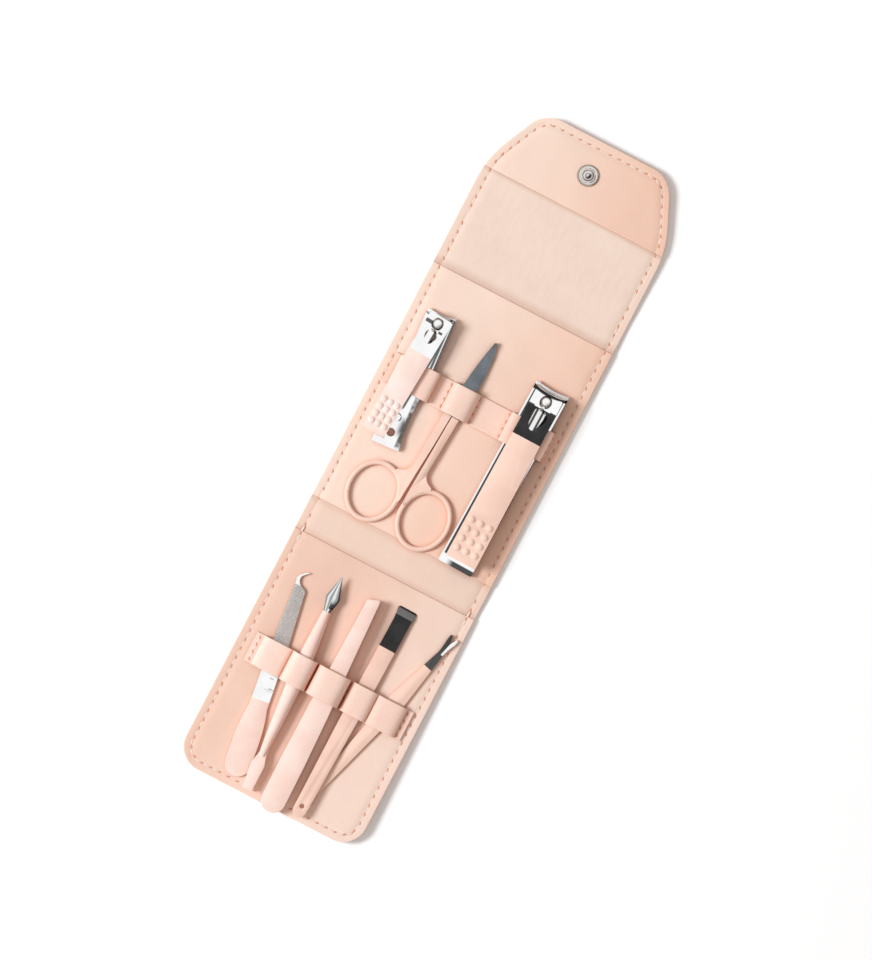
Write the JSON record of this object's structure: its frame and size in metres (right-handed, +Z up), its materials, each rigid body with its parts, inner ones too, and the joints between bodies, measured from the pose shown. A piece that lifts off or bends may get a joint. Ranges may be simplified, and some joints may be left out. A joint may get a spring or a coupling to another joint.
{
  "type": "manicure set case",
  "caption": "Folding leather case, lying open, with two loop strips that hold nail clippers, scissors, a file, a pusher, tweezers, a knife and a fork, and a flap with a snap.",
  "frame": {"origin": "middle of the upper panel's width on its underside, which lies on the table, 31 mm from its lower fold line", "axes": "+Y along the open case from the lower panel to the snap flap, +X across the case to the right as seen with the flap at the top, +Z up from the table to the tools"},
  "size_m": [0.079, 0.2915, 0.0128],
  "materials": {
    "leather": "smooth peach imitation leather",
    "lining": "matt beige-pink lining",
    "board": "grey board, hidden",
    "coated_steel": "smooth peach coating",
    "plated_steel": "polished",
    "dark_steel": "polished, dark reflections",
    "snap_metal": "polished"
  },
  "bodies": {
    "upper_panel": {"cover_upper": "leather", "board_upper": "board", "lining_upper": "lining", "facing_upper": "leather", "upper_loops": "leather"},
    "lower_fold": {"cover_fold": "leather", "lining_fold": "lining", "facing_fold": "leather"},
    "lower_panel": {"cover_lower": "leather", "board_lower": "board", "lining_lower": "lining", "facing_lower": "leather", "lower_loops": "leather", "snap_stud": "snap_metal", "snap_stud_back": "snap_metal"},
    "flap_fold": {"cover_flap_fold": "leather", "lining_flap_fold": "lining"},
    "flap": {"cover_flap": "leather", "board_flap": "board", "lining_flap": "lining", "facing_flap": "leather", "snap_cap": "snap_metal", "snap_socket": "snap_metal"},
    "large_clipper": {"large_lower_arm": "plated_steel", "large_rivet": "plated_steel"},
    "large_clipper_arm": {"large_upper_arm": "plated_steel"},
    "large_clipper_post": {"large_post": "plated_steel"},
    "large_clipper_lever": {"large_lever": "coated_steel"},
    "small_clipper": {"small_lower_arm": "plated_steel", "small_rivet": "plated_steel"},
    "small_clipper_arm": {"small_upper_arm": "plated_steel"},
    "small_clipper_post": {"small_post": "plated_steel"},
    "small_clipper_lever": {"small_lever": "coated_steel"},
    "scissors": {"scissor_right_half": "coated_steel", "scissor_rivet": "plated_steel"},
    "scissors_left": {"scissor_left_half": "coated_steel"},
    "tweezers": {"tweezer_lower_arm": "coated_steel"},
    "tweezers_arm": {"tweezer_upper_arm": "coated_steel"},
    "file": {"file": "coated_steel"},
    "pusher": {"pusher": "coated_steel"},
    "knife": {"knife": "dark_steel"},
    "fork": {"fork": "dark_steel"}
  },
  "joints": [
    {"name": "lower_fold_turn", "type": "hinge", "parent": "upper_panel", "child": "lower_fold", "pos_m": [0, -0.031, 0.0004], "axis": [1, 0, 0], "range_deg": [-90, 0]},
    {"name": "lower_panel_turn", "type": "hinge", "parent": "lower_fold", "child": "lower_panel", "pos_m": [0, -0.048, 0.0004], "axis": [1, 0, 0], "range_deg": [-88.77, 0]},
    {"name": "flap_fold_turn", "type": "hinge", "parent": "upper_panel", "child": "flap_fold", "pos_m": [0, 0.0755, 0.0004], "axis": [-1, 0, 0], "range_deg": [-90, 0]},
    {"name": "flap_turn", "type": "hinge", "parent": "flap_fold", "child": "flap", "pos_m": [0, 0.0967, 0.0004], "axis": [-1, 0, 0], "range_deg": [-88.39, 0]},
    {"name": "large_clipper_slide", "type": "slide", "parent": "upper_panel", "child": "large_clipper", "axis": [0.0236, 0.9997, 0], "range_m": [0, 0.065]},
    {"name": "small_clipper_slide", "type": "slide", "parent": "upper_panel", "child": "small_clipper", "axis": [-0.068, 0.9977, 0], "range_m": [0, 0.035]},
    {"name": "scissors_slide", "type": "slide", "parent": "upper_panel", "child": "scissors", "axis": [-0.0541, -0.9985, 0], "range_m": [0, 0.02]},
    {"name": "file_slide", "type": "slide", "parent": "lower_panel", "child": "file", "axis": [0.1383, -0.9902, 0.0214], "range_m": [0, 0.043]},
    {"name": "pusher_slide", "type": "slide", "parent": "lower_panel", "child": "pusher", "axis": [0.0558, -0.9982, 0.0216], "range_m": [0, 0.018]},
    {"name": "tweezers_slide", "type": "slide", "parent": "lower_panel", "child": "tweezers", "axis": [0.014, -0.9997, 0.0216], "range_m": [0, 0.045]},
    {"name": "knife_slide", "type": "slide", "parent": "lower_panel", "child": "knife", "axis": [-0.0174, -0.9988, 0.046], "range_m": [0, 0.048]},
    {"name": "fork_slide", "type": "slide", "parent": "lower_panel", "child": "fork", "axis": [0.2605, 0.9652, -0.0209], "range_m": [0, 0.042]},
    {"name": "large_clipper_arm_flex", "type": "hinge", "parent": "large_clipper", "child": "large_clipper_arm", "pos_m": [0.02344, -0.0131, 0.00367], "axis": [-0.9997, 0.0236, 0], "range_deg": [0, 0.45], "stiffness_Nm_per_rad": 10},
    {"name": "large_clipper_lever_turn", "type": "hinge", "parent": "large_clipper", "child": "large_clipper_post", "pos_m": [0.02484, 0.04608, 0.00875], "axis": [0, 0, 1], "range_deg": [-0.7, 179.3]},
    {"name": "large_clipper_lever_lift", "type": "hinge", "parent": "large_clipper_post", "child": "large_clipper_lever", "pos_m": [0.02484, 0.04608, 0.00935], "axis": [-0.9999, 0.0113, 0], "range_deg": [0, 20]},
    {"name": "small_clipper_arm_flex", "type": "hinge", "parent": "small_clipper", "child": "small_clipper_arm", "pos_m": [-0.02399, 0.01667, 0.00347], "axis": [-0.9977, -0.068, 0], "range_deg": [0, 0.85], "stiffness_Nm_per_rad": 10},
    {"name": "small_clipper_lever_turn", "type": "hinge", "parent": "small_clipper", "child": "small_clipper_post", "pos_m": [-0.02651, 0.05368, 0.0074], "axis": [0, 0, -1], "range_deg": [-7.5, 172.5]},
    {"name": "small_clipper_lever_lift", "type": "hinge", "parent": "small_clipper_post", "child": "small_clipper_lever", "pos_m": [-0.02651, 0.05368, 0.008], "axis": [-0.998, 0.0628, 0], "range_deg": [0, 20]},
    {"name": "scissors_turn", "type": "hinge", "parent": "scissors", "child": "scissors_left", "pos_m": [-0.0047, 0.0305, 0.00355], "axis": [0, 0, -1], "range_deg": [0, 5]},
    {"name": "tweezers_squeeze", "type": "hinge", "parent": "tweezers", "child": "tweezers_arm", "pos_m": [0.00227, -0.13596, 0.00725], "axis": [-0.9999, -0.014, 0.0003], "range_deg": [0, 1.1], "stiffness_Nm_per_rad": 5}
  ]
}
